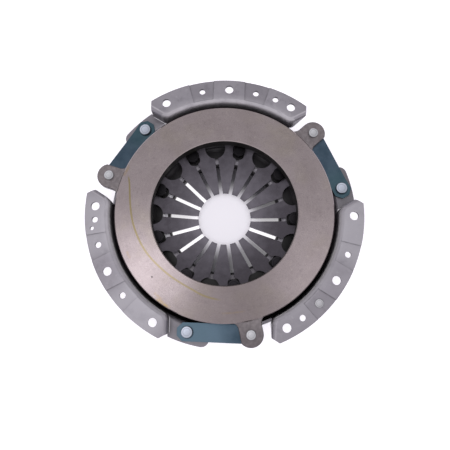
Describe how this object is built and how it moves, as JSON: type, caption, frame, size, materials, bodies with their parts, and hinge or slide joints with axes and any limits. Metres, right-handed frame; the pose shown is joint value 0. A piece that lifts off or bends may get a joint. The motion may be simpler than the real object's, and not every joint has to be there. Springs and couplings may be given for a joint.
{
  "type": "clutch pressure plate",
  "caption": "Round stamped clutch cover with a ringed pressure plate on tangential leaf straps, a fingered diaphragm spring and a slotted bolting flange.",
  "frame": {"origin": "on the clutch axis, in the plane of the cover's mounting face, which bolts to the flywheel", "axes": "+Z along the clutch axis towards the flywheel, so the friction face looks up; +Y through the middle bolt hole of the first sector"},
  "size_m": [0.28, 0.2752, 0.0485],
  "materials": {
    "cover_steel": "pressed sheet, satin grey",
    "cast_iron": "ground friction face, machined rim",
    "spring_steel": "dark hardened steel",
    "strap_steel": "blued spring steel",
    "rivet_steel": "bright zinc-plated",
    "dark_rivet_steel": "dark plain steel"
  },
  "bodies": {
    "cover": {"cover": "cover_steel", "diaphragm_spring": "spring_steel", "front_fulcrum_ring": "spring_steel", "rear_fulcrum_ring": "spring_steel", "spring_rivet_1": "dark_rivet_steel", "spring_rivet_2": "dark_rivet_steel", "spring_rivet_3": "dark_rivet_steel", "spring_rivet_4": "dark_rivet_steel", "spring_rivet_5": "dark_rivet_steel", "spring_rivet_6": "dark_rivet_steel", "spring_rivet_7": "dark_rivet_steel", "spring_rivet_8": "dark_rivet_steel", "spring_rivet_9": "dark_rivet_steel", "strap_1_leaf_1": "strap_steel", "strap_1_leaf_2": "strap_steel", "strap_1_leaf_3": "strap_steel", "strap_2_leaf_1": "strap_steel", "strap_2_leaf_2": "strap_steel", "strap_2_leaf_3": "strap_steel", "strap_3_leaf_1": "strap_steel", "strap_3_leaf_2": "strap_steel", "strap_3_leaf_3": "strap_steel", "cover_rivet_1": "rivet_steel", "cover_rivet_2": "rivet_steel", "cover_rivet_3": "rivet_steel", "balance_rivet": "rivet_steel"},
    "pressure_plate": {"pressure_plate": "cast_iron", "lug_rivet_1": "rivet_steel", "lug_rivet_2": "rivet_steel", "lug_rivet_3": "rivet_steel"}
  },
  "joints": [
    {"name": "plate_slide", "type": "slide", "parent": "cover", "child": "pressure_plate", "axis": [0, 0, 1], "range_m": [-0.007, 0], "stiffness_N_per_m": 20000, "springref_m": 0.002, "deforming": ["diaphragm_spring", "strap_1_leaf_1", "strap_1_leaf_2", "strap_1_leaf_3", "strap_2_leaf_1", "strap_2_leaf_2", "strap_2_leaf_3", "strap_3_leaf_1", "strap_3_leaf_2", "strap_3_leaf_3"]}
  ]
}
